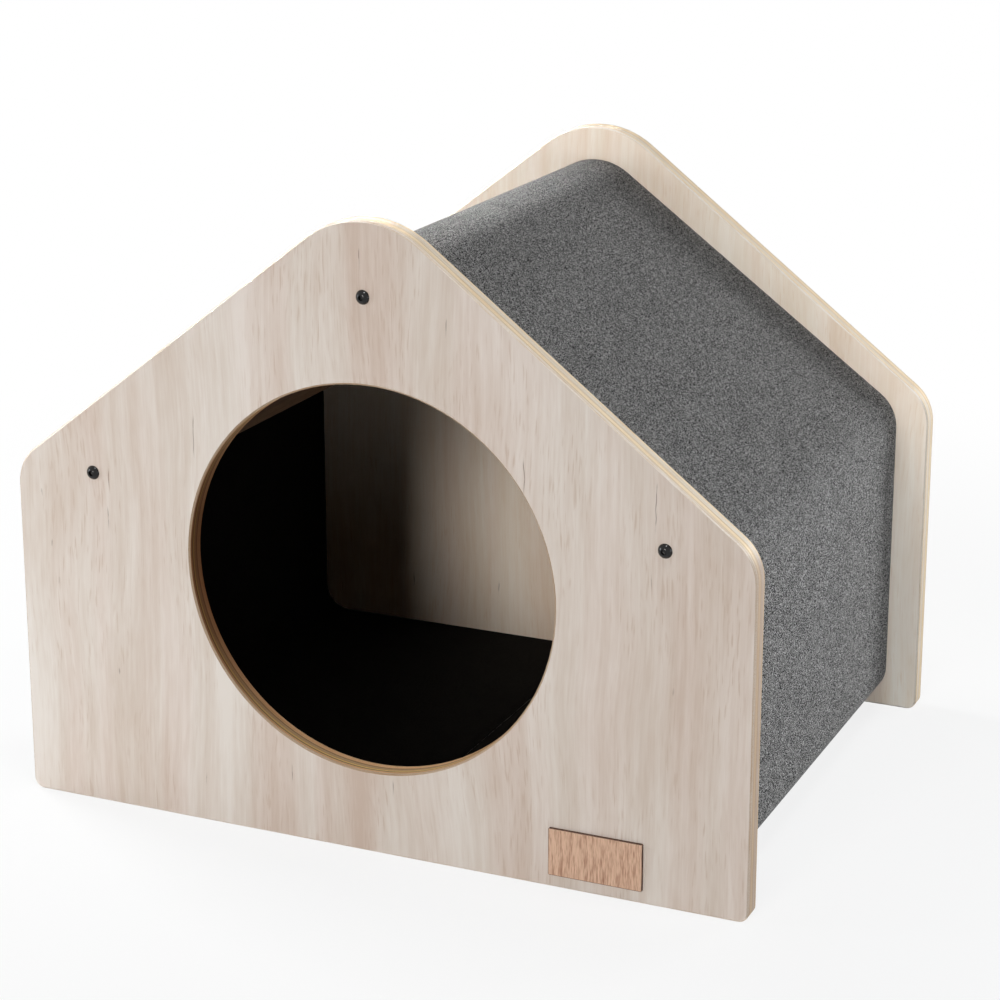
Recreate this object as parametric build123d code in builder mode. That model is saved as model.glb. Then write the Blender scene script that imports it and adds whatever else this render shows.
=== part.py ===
from build123d import *
import os

# A pet house that stands on two house-shaped plywood panels. A closed sleeve of felt is the floor,
# walls and roof between them. Its edges sit in a groove in each panel, and three rails inside it,
# screwed to both panels, clamp the house together.
# The front faces -Y, +X is to the right and +Z is up. The origin is on the ground, under the middle.

# Panels
house_depth = 400  # over both panels
panel_width = 520
panel_thickness = 15
wall_height = 236  # up to the corner where the wall and roof lines would meet
gable_rise = 201  # from that corner to the one where the roof lines would meet
ridge_radius = 64
eave_radius = 33
foot_radius = 7
edge_chamfer = 1.2  # on both faces, round the outline and the entrance

# Entrance
entrance_diameter = 259
entrance_height = 186  # of its centre

# Felt sleeve, measured to its outer face
felt_thickness = 4
sleeve_side_margin = 23.7  # inside the panel's side
sleeve_eave_margin = 5.3  # below the panel's eave corner
sleeve_ridge_margin = 31.3  # below the panel's ridge corner
sleeve_ground_gap = 6.5
sleeve_ridge_radius = 42
sleeve_eave_radius = 30
sleeve_floor_radius = 24
seam_gap = 0.4  # between the two ends of the sheet, under the middle of the floor
seam_strip_width = 40
seam_strip_thickness = 1.5
seam_strip_end_gap = 3  # short of each panel

# Groove for the sleeve's edge
groove_depth = 4
groove_side_clearance = 0.2
groove_end_clearance = 0.3

# Rails
rail_clearance = 0.3  # to the felt that goes round them
eave_rail_inside = 16.3  # from the screw to the rail's inner face
eave_rail_below = 15.5  # from the screw to the rail's underside
ridge_rail_width = 62
ridge_rail_below = 17
rail_round = 2

# Screws, with a button head and a hexagon socket
ridge_screw_drop = 65  # below the panel's ridge corner
eave_screw_drop = 1.5  # below the panel's eave corner
eave_screw_inset = 58.7  # inside the panel's side
screw_diameter = 5
screw_tip_gap = 2  # short of the insert's inner end
screw_hole_clearance = 0.25
head_diameter = 9.5
head_height = 2.75
head_shoulder_diameter = 7.2  # where the two slopes of the dome meet
head_shoulder_height = 1.75
head_crown_diameter = 4.4  # flat top of the dome
socket_across_flats = 3
socket_depth = 1.6

# Threaded inserts in the rail ends
insert_diameter = 8
insert_length = 12
insert_seat_clearance = 0.05
thread_clearance = 0.05

# Plate on the front
plate_width = 63.5
plate_height = 32
plate_thickness = 2
plate_corner_radius = 0.8
plate_side_margin = 69.6  # from the panel's right side
plate_foot_margin = 9

# Worked out from the above
half_width = panel_width / 2
front_face = house_depth / 2
inner_face = front_face - panel_thickness
ridge_height = wall_height + gable_rise
sleeve_half_width = half_width - sleeve_side_margin
sleeve_eave_height = wall_height - sleeve_eave_margin
sleeve_ridge_height = ridge_height - sleeve_ridge_margin
sleeve_half_length = inner_face + groove_depth - groove_end_clearance
screw_radius = screw_diameter / 2
screw_hole_radius = screw_radius + screw_hole_clearance
insert_radius = insert_diameter / 2
eave_screw_height = wall_height - eave_screw_drop
eave_screw_x = half_width - eave_screw_inset

ends = {"front": 1, "back": -1}
screw_places = {
    "ridge": (0, ridge_height - ridge_screw_drop),
    "left": (-eave_screw_x, eave_screw_height),
    "right": (eave_screw_x, eave_screw_height),
}


def house_face(half, foot, eave, ridge, foot_r, eave_r, ridge_r):
    """A house-shaped face with rounded corners, as seen from the front."""
    corners = [(-half, foot), (half, foot), (half, eave), (0, ridge), (-half, eave)]
    with BuildSketch() as house:
        with BuildLine():
            FilletPolyline(*corners, radius=[foot_r, foot_r, eave_r, ridge_r, eave_r], close=True)
        make_face()
    return house.sketch


def sleeve_face(inward):
    """The area inside the sleeve's outer face, drawn in by a distance."""
    outer = house_face(
        sleeve_half_width,
        sleeve_ground_gap,
        sleeve_eave_height,
        sleeve_ridge_height,
        sleeve_floor_radius,
        sleeve_eave_radius,
        sleeve_ridge_radius,
    )
    with BuildSketch() as area:
        add(outer)
        if inward != 0:
            offset(amount=-inward)
    return area.sketch


def facing_out(end, place, distance):
    """A plane that faces out of one end of the house, centred on a screw's axis."""
    x, z = place
    return Plane(origin=(x, -end * distance, z), x_dir=(end, 0, 0), z_dir=(0, -end, 0))


# Panels

def end_panel(end, has_entrance):
    with BuildPart() as panel:
        with BuildSketch(Plane.XZ.offset(end * inner_face)):
            add(house_face(half_width, 0, wall_height, ridge_height, foot_radius, eave_radius, ridge_radius))
            if has_entrance:
                with Locations((0, entrance_height)):
                    Circle(entrance_diameter / 2, mode=Mode.SUBTRACT)
        extrude(amount=end * panel_thickness)
        chamfer(panel.edges().filter_by(Axis.Y, reverse=True), edge_chamfer)
        with BuildSketch(Plane.XZ.offset(end * inner_face)):
            add(sleeve_face(-groove_side_clearance))
            add(sleeve_face(felt_thickness + groove_side_clearance), mode=Mode.SUBTRACT)
        extrude(amount=end * groove_depth, mode=Mode.SUBTRACT)
        with Locations([facing_out(end, place, front_face) for place in screw_places.values()]):
            Hole(screw_hole_radius)
    return panel.part


# Felt sleeve: a sheet bent into a loop, with its two ends meeting under the middle of the floor

with BuildPart() as sleeve:
    with BuildSketch(Plane.XZ):
        add(sleeve_face(0))
        add(sleeve_face(felt_thickness), mode=Mode.SUBTRACT)
        with Locations((0, sleeve_ground_gap)):
            Rectangle(seam_gap, 2 * felt_thickness, mode=Mode.SUBTRACT)
    extrude(amount=sleeve_half_length, both=True)

with BuildPart() as seam_strip:
    with BuildSketch(Plane.XZ):
        with Locations((0, sleeve_ground_gap)):
            Rectangle(seam_strip_width, seam_strip_thickness, align=(Align.CENTER, Align.MAX))
    extrude(amount=inner_face - seam_strip_end_gap, both=True)


# Rails: each fills a corner of the sleeve, and is cut square on the side that faces the cabin

def rail(place, corner, width, side_align):
    with BuildPart() as bar:
        with BuildSketch(Plane.XZ) as section:
            add(sleeve_face(felt_thickness + rail_clearance))
            with Locations(corner):
                Rectangle(width, ridge_height, align=(side_align, Align.MIN), mode=Mode.INTERSECT)
            fillet(section.vertices().group_by(Axis.Y)[0], rail_round)
        extrude(amount=inner_face, both=True)
        with Locations([facing_out(end, place, inner_face) for end in ends.values()]):
            Hole(insert_radius + insert_seat_clearance, depth=insert_length)
    return bar.part


eave_rail_foot = eave_screw_height - eave_rail_below
eave_rail_side = eave_screw_x - eave_rail_inside
ridge_rail_foot = screw_places["ridge"][1] - ridge_rail_below

rails = {
    "ridge_rail": rail(screw_places["ridge"], (0, ridge_rail_foot), ridge_rail_width, Align.CENTER),
    "left_eave_rail": rail(screw_places["left"], (-eave_rail_side, eave_rail_foot), half_width, Align.MAX),
    "right_eave_rail": rail(screw_places["right"], (eave_rail_side, eave_rail_foot), half_width, Align.MIN),
}


# Screws and inserts

def button_screw(end, place):
    seat = facing_out(end, place, front_face)
    head_radius = head_diameter / 2
    crown_radius = head_crown_diameter / 2
    shoulder_radius = head_shoulder_diameter / 2
    tip = -(panel_thickness + insert_length - screw_tip_gap)
    with BuildPart() as screw:
        with BuildSketch(Plane(origin=seat.origin, x_dir=seat.x_dir, z_dir=-seat.y_dir)):
            with BuildLine():
                Polyline(
                    (0, head_height),
                    (crown_radius, head_height),
                    (shoulder_radius, head_shoulder_height),
                    (head_radius, 0),
                    (screw_radius, 0),
                    (screw_radius, tip),
                    (0, tip),
                    close=True,
                )
            make_face()
        revolve(axis=Axis(seat.origin, seat.z_dir))
        with BuildSketch(seat.offset(head_height)):
            RegularPolygon(socket_across_flats / 2, 6, major_radius=False)
        extrude(amount=-socket_depth, mode=Mode.SUBTRACT)
    return screw.part


def threaded_insert(end, place):
    with BuildPart() as insert:
        with BuildSketch(facing_out(end, place, inner_face)):
            Circle(insert_radius)
            Circle(screw_radius + thread_clearance, mode=Mode.SUBTRACT)
        extrude(amount=-insert_length)
    return insert.part


# Plate, bonded to the front

with BuildPart() as plate:
    with BuildSketch(Plane.XZ.offset(front_face)):
        with Locations((half_width - plate_side_margin, plate_foot_margin)):
            RectangleRounded(plate_width, plate_height, plate_corner_radius, align=(Align.MAX, Align.MIN))
    extrude(amount=plate_thickness)


# Every piece under its name

pieces = {
    "front_panel": end_panel(ends["front"], has_entrance=True),
    "back_panel": end_panel(ends["back"], has_entrance=False),
    "felt_sleeve": sleeve.part,
    "seam_strip": seam_strip.part,
    "front_plate": plate.part,
    **rails,
}
for end_name, end in ends.items():
    for place_name, place in screw_places.items():
        pieces[f"{end_name}_{place_name}_screw"] = button_screw(end, place)
        pieces[f"{end_name}_{place_name}_insert"] = threaded_insert(end, place)

os.makedirs("parts", exist_ok=True)
for name, piece in pieces.items():
    piece.label = name
    export_step(piece, f"parts/{name}.step")
print(len(pieces), "pieces")
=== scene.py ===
# %% [markdown]
# # A wooden pet house
# Two house-shaped plywood panels stand on the ground, and a sleeve of grey felt between them is
# floor, walls and roof. This lesson dresses the measured CAD model: wood for what is wood, a new
# felt sleeve, turned screws, and a plain studio. Everything is in metres, the front faces -Y, and
# the ground is z = 0.

# %% Load the measured model
import math

import bmesh
import bpy
from mathutils import Matrix, Vector


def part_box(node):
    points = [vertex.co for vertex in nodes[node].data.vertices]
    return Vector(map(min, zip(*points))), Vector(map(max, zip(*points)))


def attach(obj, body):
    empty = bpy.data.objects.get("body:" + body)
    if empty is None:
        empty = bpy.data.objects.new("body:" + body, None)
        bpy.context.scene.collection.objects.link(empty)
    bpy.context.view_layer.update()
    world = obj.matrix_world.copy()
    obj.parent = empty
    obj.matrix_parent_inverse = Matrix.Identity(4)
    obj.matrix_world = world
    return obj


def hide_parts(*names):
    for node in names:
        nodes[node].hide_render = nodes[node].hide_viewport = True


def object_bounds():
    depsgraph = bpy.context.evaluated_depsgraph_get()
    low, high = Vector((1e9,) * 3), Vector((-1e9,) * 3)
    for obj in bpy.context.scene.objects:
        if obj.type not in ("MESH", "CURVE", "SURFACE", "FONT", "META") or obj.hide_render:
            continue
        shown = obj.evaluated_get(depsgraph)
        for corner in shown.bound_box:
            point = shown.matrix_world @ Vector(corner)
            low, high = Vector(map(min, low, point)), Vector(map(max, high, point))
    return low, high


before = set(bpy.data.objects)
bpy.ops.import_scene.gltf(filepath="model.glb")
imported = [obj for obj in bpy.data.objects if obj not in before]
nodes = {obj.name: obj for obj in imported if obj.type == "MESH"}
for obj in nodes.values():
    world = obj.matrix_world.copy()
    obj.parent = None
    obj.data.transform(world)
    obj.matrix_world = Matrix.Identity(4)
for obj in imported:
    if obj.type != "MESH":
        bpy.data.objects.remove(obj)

cad_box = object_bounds()
house_size = cad_box[1] - cad_box[0]
print("CAD nodes:", len(nodes), "box in mm:", [round(1000 * s, 1) for s in house_size])

# %% [markdown]
# ## Shader sums as Python
# A finish such as wood grain is a sum of many small patterns. Wired by hand it is a wall of
# nodes, so one small class wraps a node's output, and plain arithmetic on it adds the Math nodes.
# Every other kind of node comes from its method `node`, which takes the settings first and then
# the inputs.

# %% A wire that can be added and multiplied
class Wire:
    """One output of a shader node."""

    def __init__(self, tree, socket):
        self.tree = tree
        self.socket = socket

    def node(self, kind, settings, inputs, output=0):
        """Adds a node with its settings, then the values or links of its inputs."""
        made = self.tree.nodes.new(kind)
        for name, value in settings.items():
            if name == "stops":
                fill_ramp(made.color_ramp, value)
            else:
                setattr(made, name, value)
        for name, value in inputs.items():
            if isinstance(value, Wire):
                self.tree.links.new(value.socket, made.inputs[name])
            else:
                made.inputs[name].default_value = value
        return Wire(self.tree, made.outputs[output])

    def math(self, operation, *values):
        return self.node("ShaderNodeMath", {"operation": operation}, dict(enumerate(values)))

    def __add__(self, other):
        return self.math("ADD", self, other)

    def __radd__(self, other):
        return self.math("ADD", other, self)

    def __sub__(self, other):
        return self.math("SUBTRACT", self, other)

    def __rsub__(self, other):
        return self.math("SUBTRACT", other, self)

    def __mul__(self, other):
        return self.math("MULTIPLY", self, other)

    def __rmul__(self, other):
        return self.math("MULTIPLY", other, self)

    def __truediv__(self, other):
        return self.math("DIVIDE", self, other)

    def __rtruediv__(self, other):
        return self.math("DIVIDE", other, self)

    def __abs__(self):
        return self.math("ABSOLUTE", self)

    def above(self, least):
        return self.math("MAXIMUM", self, least)

    def fade(self, start, end):
        """0 up to start, 1 from end on, and a soft step between them."""
        ends = {"Value": self, "From Min": start, "From Max": end}
        return self.node("ShaderNodeMapRange", {"interpolation_type": "SMOOTHSTEP"}, ends)

    def blend(self, at_zero, at_one):
        """From one colour to another as this wire goes from 0 to 1."""
        colours = {"data_type": "RGBA"}
        return self.node("ShaderNodeMix", colours, {0: self, 6: at_zero, 7: at_one}, output=2)

    def tint(self, colour):
        """This colour multiplied by another."""
        multiply = {"data_type": "RGBA", "blend_type": "MULTIPLY"}
        return self.node("ShaderNodeMix", multiply, {0: 1.0, 6: self, 7: colour}, output=2)

    def parts(self):
        return [self.node("ShaderNodeSeparateXYZ", {}, {0: self}, output=i) for i in range(3)]

    def noise(self, size, detail=2.0, roughness=0.5, warp=0.0):
        """Cloudy noise about 0.5, whose blobs measure size along x, y and z."""
        scaled = self.node("ShaderNodeVectorMath", {"operation": "DIVIDE"}, {0: self, 1: size})
        pattern = {"Detail": detail, "Roughness": roughness, "Distortion": warp}
        return self.node("ShaderNodeTexNoise", {}, {"Vector": scaled, "Scale": 1.0, **pattern})


# %% Colours as they look on a screen, and what every material starts from
def screen(red, green, blue):
    """A colour given as screen values from 0 to 255, in the linear values that shaders use."""
    shares = [value / 255 for value in (red, green, blue)]
    linear = [s / 12.92 if s <= 0.04045 else ((s + 0.055) / 1.055) ** 2.4 for s in shares]
    return (*linear, 1.0)


def fill_ramp(ramp, stops):
    while len(ramp.elements) < len(stops):
        ramp.elements.new(1.0)
    for element, (position, colour) in zip(ramp.elements, stops):
        element.position = position
        element.color = colour


def new_finish(name):
    """A material, its Principled shader, and wires for the place and normal on the piece."""
    material = bpy.data.materials.new(name)
    material.use_nodes = True
    tree = material.node_tree
    shader = tree.nodes["Principled BSDF"]
    coordinates = tree.nodes.new("ShaderNodeTexCoord")
    place = Wire(tree, coordinates.outputs["Object"])
    normal = Wire(tree, coordinates.outputs["Normal"])
    return material, shader, place, normal


def finish_with(shader, colour, roughness, height, relief, strength):
    """Feeds a shader its colour, its roughness and its bumps, which stand relief metres proud."""
    bump = {"Height": height, "Distance": relief, "Strength": strength}
    normal = height.node("ShaderNodeBump", {}, bump)
    for name, wire in {"Base Color": colour, "Roughness": roughness, "Normal": normal}.items():
        wire.tree.links.new(wire.socket, shader.inputs[name])


# %% [markdown]
# ## The panels' printed grain
# The faces are a pale laminate with an oak-like print: broad upright bands, some whiter and some
# warmer, long streaks that sway a little, short dark pores, a few hairline splits, and pin marks.
# An image would tie the grain to one size, so it is built from noise drawn out along the grain.
# The faint figure is contour lines of a smooth field, as real growth rings are.

# %% Where the splits and pin marks are, seen from the front
front_splits = [  # across from the middle, then the low and high end
    (-0.124, 0.252, 0.284),
    (-0.191, 0.194, 0.214),
    (-0.189, 0.222, 0.240),
    (-0.002, 0.386, 0.405),
    (0.109, 0.256, 0.283),
    (0.195, 0.243, 0.278),
    (0.193, 0.206, 0.220),
    (0.057, 0.350, 0.366),
    (-0.057, 0.036, 0.053),
    (0.017, 0.040, 0.055),
    (-0.122, 0.024, 0.036),
]
front_pins = [(-0.242, 0.216), (-0.236, 0.181), (-0.232, 0.155), (-0.187, 0.097), (0.208, 0.145)]
split_half_width = 0.00045
split_wander = 0.003
pin_half_width, pin_half_height = 0.0007, 0.003
print(len(front_splits), "splits and", len(front_pins), "pin marks")

# %% The laminate's colour and grain height
front_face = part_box("front_panel")[0].y
back_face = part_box("back_panel")[1].y
pink_shade = screen(255, 252, 252)
split_brown = screen(96, 72, 54)
print_choice = 4.7  # which stretch of the endless print the panels are cut from
print_spacing = 40  # keeps the prints of faces at different depths apart
split_shift = 0.25  # how far the splits stand to the side, for each metre behind the front
sway_width = 0.025
ring_count = 26


def laminate(place, pale_band, warm_band):
    """Colour and height of the printed face."""
    across, depth, up = place.parts()
    sheet = print_spacing * depth + print_choice
    flat = place.node("ShaderNodeCombineXYZ", {}, {0: across, 1: sheet, 2: up})
    sway = sway_width * (flat.noise((0.12, 1, 0.2), detail=1) - 0.5)
    spread = place.node("ShaderNodeCombineXYZ", {}, {0: across + sway, 1: sheet, 2: up})
    bands = spread.noise((0.075, 1, 0.24), detail=1) - 0.5
    streaks = spread.noise((0.024, 1, 0.75), detail=6, roughness=0.85) - 0.5
    mottle = spread.noise((0.03, 1, 0.2), detail=4, roughness=0.8) - 0.5
    field = spread.noise((0.05, 1, 0.55), detail=1.5) * ring_count
    figure = field.math("PINGPONG", field, 1) - 0.5
    pores = spread.noise((0.0012, 1, 0.016), detail=1).fade(0.56, 0.76)
    crowding = spread.noise((0.03, 1, 0.12)).fade(0.35, 0.65)
    tone = 0.45 + 1.1 * bands + 2.3 * streaks + 1.5 * mottle
    tone = tone + 0.07 * figure + 0.6 * pores * crowding
    colour = tone.blend(pale_band, warm_band)
    rosy = spread.noise((0.028, 1, 0.45), detail=1).fade(0.35, 0.65)
    colour = rosy.blend(colour, colour.tint(pink_shade))
    wander = split_wander * (spread.noise((0.02, 9, 0.016), detail=2) - 0.5)
    print_across = across + split_shift * (depth - front_face) + wander
    marks = 0
    for split_across, low, high in front_splits:
        line = (1 - abs(print_across - split_across) / split_half_width).above(0)
        marks = line * (up - low).fade(0, 0.01) * (high - up).fade(0, 0.006) + marks
    for pin_across, pin_up in front_pins:
        sideways = (print_across - pin_across) / pin_half_width
        along = (up - pin_up) / pin_half_height
        marks = (1 - sideways * sideways - along * along).above(0) * 0.6 + marks
    breaks = spread.noise((0.01, 1, 0.005), detail=1).fade(0.3, 0.55)
    marks = 0.75 * marks * (0.4 + 0.6 * breaks)
    return marks.blend(colour, split_brown), 0.5 + streaks + mottle - 0.6 * marks


# %% [markdown]
# ## The panels' cut edges
# Saw through plywood and its layers show: long-grain ones creamy, cross-grain ones tan or greyer,
# with a fine speckle of cut fibres. The laminate comes over the eased corner as a pale line. The
# layers are one colour ramp through the thickness, so they follow the roof, the corners and the
# entrance by themselves. The entrance's wall is browner. Upright sides, of the outline and of the
# entrance, are made darker by how far they face sideways: that darkening is painted shade.

# %% The layers from the outer face inwards
panel_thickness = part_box("front_panel")[1].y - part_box("front_panel")[0].y
pale_layer = screen(233, 219, 203)
cream_layer = screen(241, 222, 192)
tan_layer = screen(218, 199, 175)
grey_layer = screen(230, 219, 206)
amber_layer = screen(250, 205, 158)
gold_layer = screen(255, 222, 150)
umber_layer = screen(216, 180, 140)
glue_line = screen(172, 140, 108)

outline_layers = [
    (0.0, pale_layer),
    (0.14, pale_layer),
    (0.17, tan_layer),
    (0.2, tan_layer),
    (0.24, cream_layer),
    (0.42, cream_layer),
    (0.46, tan_layer),
    (0.5, tan_layer),
    (0.54, grey_layer),
    (0.76, grey_layer),
    (0.82, cream_layer),
]
entrance_layers = [
    (0.0, amber_layer),
    (0.2, amber_layer),
    (0.23, glue_line),
    (0.27, glue_line),
    (0.3, gold_layer),
    (0.36, gold_layer),
    (0.4, umber_layer),
    (0.56, umber_layer),
    (0.58, glue_line),
    (0.62, glue_line),
    (0.65, amber_layer),
    (0.9, amber_layer),
    (0.95, umber_layer),
]
print("layer stops, outline:", len(outline_layers), "entrance:", len(entrance_layers))

# %% Edge colour, by how far in it is and which way it faces
entrance_centre = (0.0, 0.186)
entrance_reach = 0.1312  # just past the entrance's wall
# The entrance's upright sides are multiplied by this colour: painted shade.
upright_painted_shade = screen(158, 134, 120)  # what the entrance's sides are multiplied by
entrance_corner = screen(186, 164, 142)
speckle_shade = screen(240, 232, 222)
thread_shade = screen(238, 226, 210)
layer_wobble = 0.0006


def ply_edge(place, normal, outer_face, eased_corner, side_corner_painted_shade, side_painted_shade):
    across, depth, up = place.parts()
    wobble = layer_wobble * (place.noise((0.03, 0.03, 0.03), detail=1) - 0.5)
    share = (abs(depth - outer_face) + wobble) / panel_thickness
    outline = share.node("ShaderNodeValToRGB", {"stops": outline_layers}, {0: share})
    entrance = share.node("ShaderNodeValToRGB", {"stops": entrance_layers}, {0: share})
    facing_x, _, facing_z = normal.parts()
    flat = (facing_x * facing_x + facing_z * facing_z).above(0.0001)
    sideways = abs(facing_x) / flat.math("SQRT", flat)
    # Upright sides and their eased corner are darkened: painted shade.
    on_side = sideways.fade(0.75, 0.98)
    outline = on_side.blend(outline, outline.tint(side_painted_shade))
    corner = on_side.blend(eased_corner, side_corner_painted_shade)
    outline = abs(share - 0.5).fade(0.41, 0.425).blend(outline, corner)
    # The entrance's sides are darkened: painted shade.
    entrance = sideways.fade(0.35, 1.1).blend(entrance, entrance.tint(upright_painted_shade))
    entrance = share.fade(0.09, 0.075).blend(entrance, entrance_corner)
    right, above = across - entrance_centre[0], up - entrance_centre[1]
    squared = right * right + above * above
    inside = (squared.math("SQRT", squared) / entrance_reach).fade(1.005, 0.995)
    colour = inside.blend(outline, entrance)
    speckle = place.noise((0.0009, 0.0005, 0.0009), detail=2, roughness=0.7)
    threads = place.noise((0.03, 0.0005, 0.03), detail=2)
    colour = speckle.fade(0.4, 0.75).blend(colour, colour.tint(speckle_shade))
    return threads.fade(0.42, 0.7).blend(colour, colour.tint(thread_shade)), speckle


# %% Panel wood: print on the faces, layers on the edges
def panel_wood(
    name, outer_face, pale_band, warm_band, rear_painted_shade, eased_corner, side_corner_painted_shade, side_painted_shade
):
    material, shader, place, normal = new_finish(name)
    face_colour, face_height = laminate(place, pale_band, warm_band)
    edge_colour, edge_height = ply_edge(
        place, normal, outer_face, eased_corner, side_corner_painted_shade, side_painted_shade
    )
    # Faces towards the rear are multiplied by the rear colour: painted shade.
    facing_rear = normal.parts()[1]
    face_colour = facing_rear.fade(0.8, 0.9).blend(face_colour, face_colour.tint(rear_painted_shade))
    on_face = abs(facing_rear).fade(0.8, 0.9)
    colour = on_face.blend(edge_colour, face_colour)
    height = on_face * face_height + (1 - on_face) * edge_height
    roughness = 0.62 - 0.1 * on_face + 0.1 * (face_height - 0.5)
    finish_with(shader, colour, roughness, height, relief=0.00012, strength=0.3)
    shader.inputs["Specular IOR Level"].default_value = 0.12
    return material


# The side corner and side colours are painted shade on the panel's upright sides.
front_wood = panel_wood(
    "front_panel_wood",
    front_face,
    pale_band=screen(222, 215, 208),
    warm_band=screen(199, 183, 170),
    rear_painted_shade=screen(255, 255, 255),  # white leaves the print as it is
    eased_corner=screen(236, 227, 219),
    side_corner_painted_shade=screen(183, 168, 155),
    side_painted_shade=screen(178, 169, 165),
)
# The back panel's bands and corners are paler than the front's: painted light on its inner face.
# Its rear colour is painted shade on its rear face.
back_wood = panel_wood(
    "back_panel_wood",
    back_face,
    pale_band=screen(253, 244, 231),
    warm_band=screen(238, 219, 197),
    rear_painted_shade=screen(189, 191, 194),
    eased_corner=screen(242, 234, 226),
    side_corner_painted_shade=screen(198, 187, 176),
    side_painted_shade=screen(202, 200, 198),
)
nodes["front_panel"].material_slots[0].material = front_wood
nodes["back_panel"].material_slots[0].material = back_wood
print("panel faces at y =", round(front_face, 4), "and", round(back_face, 4))

# %% [markdown]
# ## The rails
# Three solid wood rails run from panel to panel inside the felt. Only an edge shows through the
# entrance, in deep shade, but their ends and faces are real wood with the grain along the house.

# %% Rail wood
def rail_wood():
    material, shader, place, _ = new_finish("rail_wood")
    grain = place.noise((0.009, 0.4, 0.009), detail=4, roughness=0.6, warp=0.4)
    pores = place.noise((0.0008, 0.012, 0.0008), detail=2)
    tone = 0.75 * grain + 0.25 * pores
    colour = tone.fade(0.3, 0.7).blend(screen(150, 114, 82), screen(108, 75, 50))
    finish_with(shader, colour, 0.5 + 0.2 * pores, tone, relief=0.0002, strength=0.4)
    return material


rail_finish = rail_wood()
for node_name in ("ridge_rail", "left_eave_rail", "right_eave_rail"):
    nodes[node_name].material_slots[0].material = rail_finish
print("rails dressed")

# %% [markdown]
# ## The felt
# Pressed felt is a tangle of light and dark wool fibres, so close up it is a salt-and-pepper
# grey, and at a low angle its loose hairs catch the light. Fine noise gives the flecks, a broad
# one the clouding, and the shader's sheen the hairs. The side towards the cabin is black felt,
# which is painted shade for the dark cabin.

# %% Felt, by its two fleck colours
def felt(name, pit, ridge, sheen):
    material, shader, place, _ = new_finish(name)
    tangle = place.noise((0.0009, 0.0012, 0.0009), detail=0)
    pits = abs(tangle - 0.5).fade(0.02, 0.14)
    clouds = place.noise((0.02, 0.02, 0.02), detail=3)
    tone = pits + 0.2 * (clouds - 0.5)
    colour = tone.blend(ridge, pit)
    finish_with(shader, colour, 0.9 + 0.1 * clouds, 1 - pits, relief=0.0006, strength=1.0)
    shader.inputs["Specular IOR Level"].default_value = 0.15
    shader.inputs["Sheen Weight"].default_value = sheen
    shader.inputs["Sheen Roughness"].default_value = 0.2
    return material


grey_felt = felt("grey_felt", screen(8, 8, 8), screen(166, 163, 161), 0.1)
# Black felt for the cabin side: painted shade for the dark cabin.
shade_black_felt = felt("shade_black_felt", screen(4, 4, 3), screen(22, 19, 17), 0.0)
print("felt:", grey_felt.name, shade_black_felt.name)

# %% [markdown]
# ## The sleeve
# One sheet, 4 mm thick, is bent round in a loop, and its two ends meet under the middle of the
# floor. Its cross-section is a small house with rounded corners: straight runs and arcs. A cloth
# simulation would only sag what the rails and grooves hold taut, so the outline is drawn, pulled
# along the house as a grid of faces, and thickened by a Solidify modifier, whose inner side takes
# the black finish.

# %% The outline, as points along the sheet
sleeve_low, sleeve_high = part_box("felt_sleeve")
felt_thickness = 0.004
seam_gap = 0.0004
eave_corner_height = 0.2307
ridge_corner_height = 0.4057
floor_radius, eave_radius, ridge_radius = 0.024, 0.030, 0.042
run_step = 0.008  # between points on the straight runs
arc_steps = 14


def straight(start, end):
    count = max(1, round((end - start).length / run_step))
    return [start.lerp(end, i / count) for i in range(count)]


def arc(before, corner, after, radius):
    """Points round a corner, from the end of one straight run to the start of the next."""
    back, ahead = (before - corner).normalized(), (after - corner).normalized()
    half_angle = back.angle(ahead) / 2
    centre = corner + (back + ahead).normalized() * (radius / math.sin(half_angle))
    start = corner + back * (radius / math.tan(half_angle)) - centre
    turn = back.angle_signed(ahead)
    turn = math.copysign(math.pi - abs(turn), turn)
    return [centre + Matrix.Rotation(turn * i / arc_steps, 2) @ start for i in range(arc_steps + 1)]


def sheet_outline():
    half, low = sleeve_high.x, sleeve_low.z
    corners = [(half, low), (half, eave_corner_height), (0, ridge_corner_height)]
    corners += [(-half, eave_corner_height), (-half, low)]
    corners = [Vector(c) for c in corners]
    radii = [floor_radius, eave_radius, ridge_radius, eave_radius, floor_radius]
    stops = [Vector((seam_gap / 2, low)), *corners, Vector((-seam_gap / 2, low))]
    points = [stops[0]]
    for before, corner, after, radius in zip(stops, corners, stops[2:], radii):
        bend = arc(before, corner, after, radius)
        points += straight(points[-1], bend[0])[1:] + bend
    return points + straight(points[-1], stops[-1])[1:] + [stops[-1]]


outline = sheet_outline()
sheet_length = sum((b - a).length for a, b in zip(outline, outline[1:]))
print(len(outline), "points round the sheet, outer length in mm:", round(1000 * sheet_length))

# %% The sleeve as a grid of faces, thickened inwards
def new_piece(name, mesh_maker, materials, replaced):
    """A shaded mesh piece that stands for a CAD node and hides it; the caller attaches it to the
    house.
    """
    mesh = bpy.data.meshes.new(name)
    mesh_maker.to_mesh(mesh)
    mesh_maker.free()
    piece = bpy.data.objects.new(name, mesh)
    bpy.context.scene.collection.objects.link(piece)
    for material in materials:
        mesh.materials.append(material)
    for polygon in mesh.polygons:
        polygon.use_smooth = True
    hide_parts(replaced)
    return piece


def pulled_grid(points, rows):
    """Faces between copies of the points at each y in rows."""
    maker = bmesh.new()
    lines = [[maker.verts.new((p.x, y, p.y)) for p in points] for y in rows]
    for here, there in zip(lines, lines[1:]):
        for a, b, c, d in zip(here, here[1:], there[1:], there):
            maker.faces.new((d, c, b, a))
    return maker


row_count = 48
rows = [sleeve_low.y + (sleeve_high.y - sleeve_low.y) * i / row_count for i in range(row_count + 1)]
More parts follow.
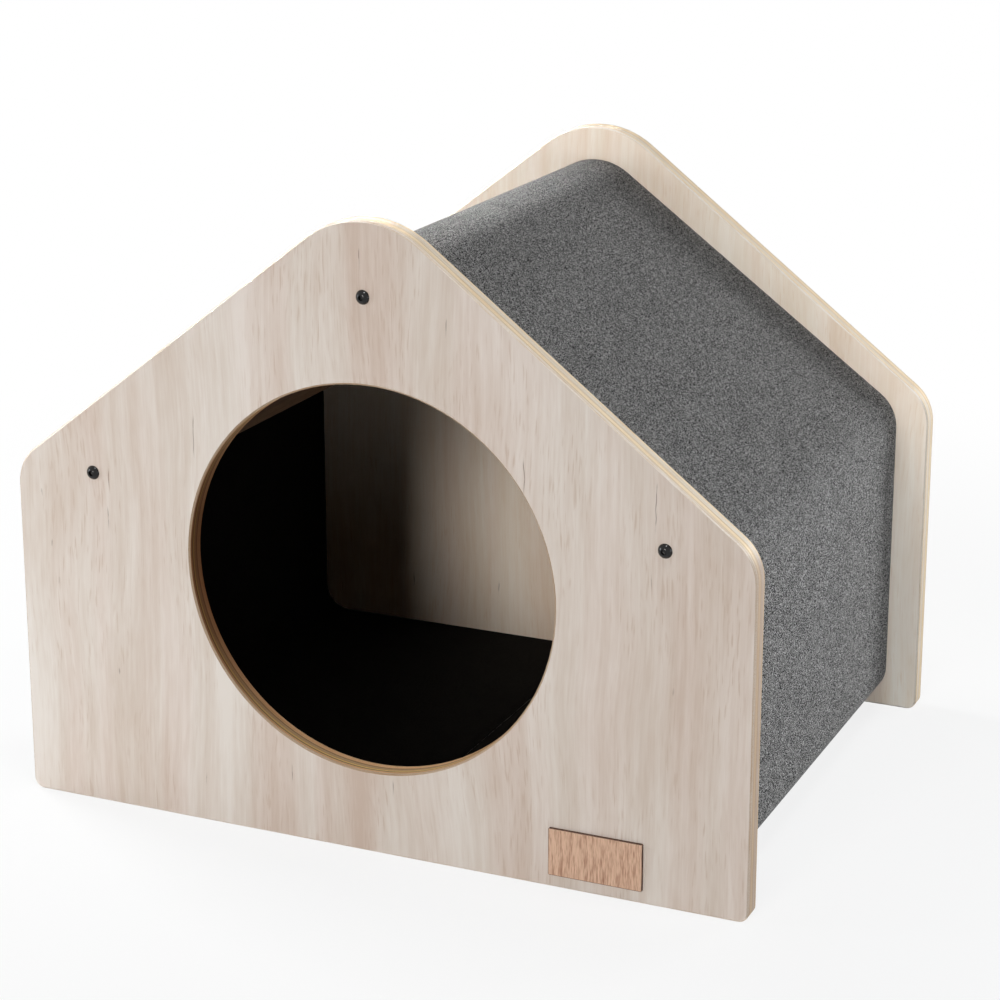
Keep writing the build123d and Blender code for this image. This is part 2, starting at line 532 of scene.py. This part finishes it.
# The inner side takes the black felt: painted shade.
felt_sides = [grey_felt, shade_black_felt]
sleeve = new_piece("felt_loop", pulled_grid(outline, rows), felt_sides, "felt_sleeve")
thicken = sleeve.modifiers.new("thickness", "SOLIDIFY")
thicken.thickness = felt_thickness
thicken.offset = -1
thicken.use_even_offset = True
thicken.material_offset = 1
thicken.material_offset_rim = 0
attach(sleeve, "root")

# %% [markdown]
# ## The seam strip
# A strip of the same cloth is bonded under the floor, over the seam. It is a thin slab with a
# soft edge, so a grid with a Solidify and a Bevel modifier is enough.

# %% The strip
strip_low, strip_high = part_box("seam_strip")
strip_columns = 10
strip_size = (strip_high.x - strip_low.x, strip_high.y - strip_low.y)
strip_points = []
for i in range(strip_columns + 1):
    strip_points.append(Vector((strip_low.x + strip_size[0] * i / strip_columns, strip_low.z)))
strip_rows = [strip_low.y + strip_size[1] * i / row_count for i in range(row_count + 1)]
strip_grid = pulled_grid(strip_points, strip_rows)
strip = new_piece("seam_tape", strip_grid, [grey_felt], "seam_strip")
thicken = strip.modifiers.new("thickness", "SOLIDIFY")
thicken.thickness = strip_high.z - strip_low.z
thicken.offset = -1
soften = strip.modifiers.new("soft edge", "BEVEL")
soften.width = 0.0005
soften.segments = 2
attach(strip, "root")
print("strip in mm:", [round(1000 * s) for s in strip_size])

# %% [markdown]
# ## The screws
# Six black button-head screws hold the house together. A screw is turned on a lathe, so its mesh
# is a stack of rings. The socket's rings follow a hexagon instead of a circle, and on the
# threaded end each point's radius depends on its angle too, which winds the ridge into a helix.

# %% Rings of a screw, from the socket's floor over the dome to the tip
head_radius, head_height = 0.00475, 0.00275
crown_radius = 0.0021
socket_apothem, socket_depth = 0.0015, 0.0016
socket_lip_width, socket_lip_depth = 0.00008, 0.0001
tip_radius_share = 0.75  # of the thread's root
shank_radius, root_radius = 0.0025, 0.0021
thread_pitch, thread_length = 0.0008, 0.012
rings_per_turn = 4  # of the thread
tip_rings = 2  # left out at the end, so that the tip tapers
ring_points = 36
dome_rings = 9
screw_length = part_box("front_ridge_screw")[1].y - front_face


def circle(radius):
    return lambda angle: radius


def hexagon(apothem):
    """The distance from a hexagon's centre to its side, at an angle."""
    return lambda angle: apothem / math.cos((angle + math.pi / 6) % (math.pi / 3) - math.pi / 6)


def thread(height):
    """The radius of a triangular thread at a height, which climbs one pitch in a turn."""
    return lambda angle: root_radius + (shank_radius - root_radius) * abs(
        2 * ((height / thread_pitch + angle / math.tau) % 1) - 1
    )


def screw_rings():
    dome_centre = (crown_radius**2 + head_height**2 - head_radius**2) / (2 * head_height)
    dome_radius = math.hypot(head_radius, dome_centre)
    top = math.atan2(head_height - dome_centre, crown_radius)
    bottom = math.atan2(-dome_centre, head_radius)
    rings = [(head_height - socket_depth, hexagon(socket_apothem))]
    rings.append((head_height - socket_lip_depth, hexagon(socket_apothem)))
    rings.append((head_height, hexagon(socket_apothem + socket_lip_width)))
    for i in range(dome_rings + 1):
        angle = top + (bottom - top) * i / dome_rings
        height = dome_centre + dome_radius * math.sin(angle)
        rings.append((height, circle(dome_radius * math.cos(angle))))
    rings += [(0, circle(shank_radius)), (thread_length - screw_length, circle(shank_radius))]
    steps = round(rings_per_turn * thread_length / thread_pitch)
    for i in range(1, steps - tip_rings):
        height = thread_length * (1 - i / steps) - screw_length
        rings.append((height, thread(height)))
    return rings + [(-screw_length, circle(tip_radius_share * root_radius))]


def turned_screw():
    maker = bmesh.new()
    angles = [math.tau * k / ring_points for k in range(ring_points)]
    rings = []
    for height, radius in screw_rings():
        points = [(radius(a) * math.cos(a), radius(a) * math.sin(a), height) for a in angles]
        rings.append([maker.verts.new(p) for p in points])
    maker.faces.new(rings[0])
    for upper, lower in zip(rings, rings[1:]):
        for k in range(ring_points):
            maker.faces.new((upper[k], lower[k], lower[k - 1], upper[k - 1]))
    maker.faces.new(rings[-1][::-1])
    bmesh.ops.recalc_face_normals(maker, faces=maker.faces)
    return maker


print("a screw has", len(screw_rings()), "rings of", ring_points)

# %% Black finish, and the six screws in their holes
def black_enamel():
    material, shader, place, _ = new_finish("black_enamel")
    smears = place.noise((0.002, 0.002, 0.002), detail=3)
    colour = smears.fade(0.3, 0.8).blend(screen(3, 3, 4), screen(10, 10, 11))
    finish_with(shader, colour, 0.02 + 0.05 * smears, smears, relief=0.00002, strength=0.1)
    shader.inputs["Specular IOR Level"].default_value = 0.35
    return material


enamel = black_enamel()
socket_turns = {"ridge": 14, "left": 38, "right": 52}  # degrees, as each screw stopped
sharp_angle = math.radians(40)
for end, facing, panel_face in (("front", 1, front_face), ("back", -1, back_face)):
    for spot, turn in socket_turns.items():
        node_name = f"{end}_{spot}_screw"
        low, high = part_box(node_name)
        piece_name = f"{end}_{spot}_button_screw"
        screw = new_piece(piece_name, turned_screw(), [enamel], node_name)
        screw.data.set_sharp_from_angle(angle=sharp_angle)
        stand = Matrix.Translation(((low.x + high.x) / 2, panel_face, (low.z + high.z) / 2))
        aim = Matrix.Rotation(facing * math.radians(90), 4, "X")
        screw.matrix_world = stand @ aim @ Matrix.Rotation(math.radians(turn), 4, "Z")
        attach(screw, "root")
print("six screws of", round(1000 * (screw_length + head_height), 1), "mm")

# %% [markdown]
# ## The inserts
# A brass insert in each rail end takes a screw. It is hidden once the house stands, but not in an
# exploded view, so it has turned brass: bright metal with fine rings of tool marks along it.

# %% Brass
def turned_brass():
    material, shader, place, _ = new_finish("turned_brass")
    marks = place.noise((0.02, 0.00025, 0.02), detail=2)
    tarnish = place.noise((0.004, 0.004, 0.004), detail=3)
    colour = tarnish.fade(0.35, 0.75).blend(screen(222, 190, 122), screen(186, 146, 84))
    finish_with(shader, colour, 0.22 + 0.25 * tarnish, marks, relief=0.00005, strength=0.4)
    shader.inputs["Metallic"].default_value = 1.0
    return material


brass = turned_brass()
for node_name, node in nodes.items():
    if node_name.endswith("_insert"):
        node.material_slots[0].material = brass
print("inserts dressed")

# %% [markdown]
# ## The plate
# A thin wooden plate is bonded to the front, low on the right, and left bare. It was cut by a
# laser, so its rim is scorched, and its grain is short dark flecks along the height. The scorch
# is a band measured in from the plate's own box, so it stays on the rim whatever the plate's
# size.

# %% Plate wood
plate_low, plate_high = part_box("front_plate")
scorch_width = 0.0005
scorch_wander = 0.0008
scorch_brown = screen(78, 52, 40)


def plate_wood():
    material, shader, place, _ = new_finish("plate_wood")
    across, _, up = place.parts()
    grain = place.noise((0.003, 0.02, 0.04), detail=4, roughness=0.7, warp=0.1)
    flecks = place.noise((0.0007, 0.02, 0.009), detail=2, roughness=0.6)
    tone = 0.45 * grain + 0.55 * flecks
    colour = tone.fade(0.4, 0.68).blend(screen(218, 184, 159), screen(152, 108, 86))
    inset = across - plate_low.x
    for side in (plate_high.x - across, up - plate_low.z, plate_high.z - up):
        inset = inset.math("MINIMUM", inset, side)
    ragged = inset + scorch_wander * (flecks - 0.5)
    scorch = ragged.fade(scorch_width, 0.0)
    colour = scorch.blend(colour, scorch_brown)
    height = tone - 0.4 * scorch
    finish_with(shader, colour, 0.55 + 0.2 * flecks, height, relief=0.0002, strength=0.5)
    shader.inputs["Specular IOR Level"].default_value = 0.3
    return material


nodes["front_plate"].material_slots[0].material = plate_wood()
print("plate in mm:", [round(1000 * s, 1) for s in plate_high - plate_low])

# %% [markdown]
# ## The studio
# The house stands on a pale floor in soft light. A tall lamp in front, a little to the left,
# shines through the entrance onto the back panel, and a small cool one makes the front's left
# half the brighter one. One overhead lights the roof and the entrance's lower edge. At the right,
# a near lamp lights the back panel's rim, and one behind the house lets that rim shade the felt.
# A narrow beam from behind, on the left, grazes the ridge. Two more keep the left side and the
# back at the same plain level. The floor and world are white for the camera and for reflections
# only, so that white adds no light.

# %% Floor and world
def seen_directly(tree):
    """1 for rays from the camera, a mirror or glass, and 0 for those that only carry light."""
    path = tree.nodes.new("ShaderNodeLightPath")
    seen = Wire(tree, path.outputs["Is Camera Ray"])
    for kind in ("Glossy", "Transmission"):
        seen = seen.above(Wire(tree, path.outputs["Is " + kind + " Ray"]))
    return seen


floor_half_width = 30.0
white_near, white_far = 0.82, 1.0  # how white the camera sees the floor, by the house and away
near_end, far_start = 0.45, 1.1
world_light = 0.01  # the world's strength for rays that only carry light


def pale_floor():
    maker = bmesh.new()
    bmesh.ops.create_grid(maker, x_segments=1, y_segments=1, size=floor_half_width)
    mesh = bpy.data.meshes.new("floor")
    maker.to_mesh(mesh)
    maker.free()
    floor = bpy.data.objects.new("floor", mesh)
    bpy.context.scene.collection.objects.link(floor)
    material, shader, place, _ = new_finish("pale_floor")
    tree = material.node_tree
    grain = place.noise((0.004, 0.004, 0.004), detail=2)
    colour = grain.blend(screen(222, 222, 222), screen(226, 226, 226))
    tree.links.new(colour.socket, shader.inputs["Base Color"])
    shader.inputs["Roughness"].default_value = 0.9
    shader.inputs["Specular IOR Level"].default_value = 0.0
    length = {"operation": "LENGTH"}
    distance = place.node("ShaderNodeVectorMath", length, {0: place}, output="Value")
    whiter = white_near + (white_far - white_near) * distance.fade(near_end, far_start)
    white = tree.nodes.new("ShaderNodeEmission")
    mixed = tree.nodes.new("ShaderNodeMixShader")
    tree.links.new((seen_directly(tree) * whiter).socket, mixed.inputs["Fac"])
    tree.links.new(shader.outputs["BSDF"], mixed.inputs[1])
    tree.links.new(white.outputs["Emission"], mixed.inputs[2])
    tree.links.new(mixed.outputs["Shader"], tree.nodes["Material Output"].inputs["Surface"])
    mesh.materials.append(material)


def dim_world():
    world = bpy.data.worlds.new("studio")
    bpy.context.scene.world = world
    world.use_nodes = True
    tree = world.node_tree
    background = tree.nodes["Background"]
    strength = world_light + (1 - world_light) * seen_directly(tree)
    background.inputs["Color"].default_value = (1, 1, 1, 1)
    tree.links.new(strength.socket, background.inputs["Strength"])


pale_floor()
dim_world()
print("floor and world ready")

# %% Lamps
def lamp(name, place, target, width, height, watts, colour, spread=180):
    """A rectangular lamp aimed at a target, whose light fans out by spread degrees."""
    data = bpy.data.lights.new(name, "AREA")
    data.shape = "RECTANGLE"
    data.size, data.size_y = width, height
    data.energy = watts
    data.spread = math.radians(spread)
    data.color = colour
    made = bpy.data.objects.new(name, data)
    bpy.context.scene.collection.objects.link(made)
    made.location = place
    made.rotation_euler = (Vector(target) - Vector(place)).to_track_quat("-Z", "Y").to_euler()
    print(name, watts, "W")


warm = (1.0, 0.95, 0.9)
neutral = (0.98, 1.0, 1.0)
cool = (0.87, 0.94, 1.0)
lamp("front_lamp", (-0.26, -5.2, 1.3), (0.0, -0.2, 0.2), 1.2, 2.0, 130, warm)
lamp("front_left_lamp", (-0.85, -0.55, 0.4), (-0.15, -0.2, 0.2), 0.3, 0.4, 2.7, cool)
lamp("top_lamp", (0.35, -0.6, 2.1), (0.05, 0.0, 0.25), 0.35, 0.35, 10, neutral)
lamp("right_lamp", (0.95, -0.14, 0.3), (0.236, 0.0, 0.2), 0.16, 0.3, 3.4, cool)
lamp("right_back_lamp", (1.3, 1.6, 0.3), (0.15, 0.0, 0.18), 0.8, 0.6, 34, neutral)
lamp("left_lamp", (-1.4, 0.3, 1.4), (-0.1, 0.0, 0.3), 0.6, 0.6, 28, neutral)
lamp("ridge_lamp", (-1.3, 0.5, 1.25), (0.0, -0.03, 0.4), 0.28, 0.3, 1.1, neutral, spread=14)
lamp("back_lamp", (-1.3, 2.4, 1.5), (0.0, 0.1, 0.25), 0.8, 0.8, 8, neutral)

# %% [markdown]
# ## The camera
# It stands to the right of the front and above it, with a long lens. Its place was fitted to the
# house's straight edges, and a small downward shift keeps the house in the middle of the square
# picture.

# %% Camera
camera_data = bpy.data.cameras.new("camera")
camera = bpy.data.objects.new("camera", camera_data)
bpy.context.scene.collection.objects.link(camera)
camera.location = (0.7215, -1.6164, 0.7390)
camera_drop, camera_turn = math.radians(15.896), math.radians(23.937)
camera.rotation_euler = (math.radians(90) - camera_drop, 0, camera_turn)
camera_data.lens = 95.04
camera_data.shift_y = -0.07
bpy.context.scene.camera = camera
bpy.context.scene.view_settings.view_transform = "Standard"
print("camera at", [round(c, 3) for c in camera.location])
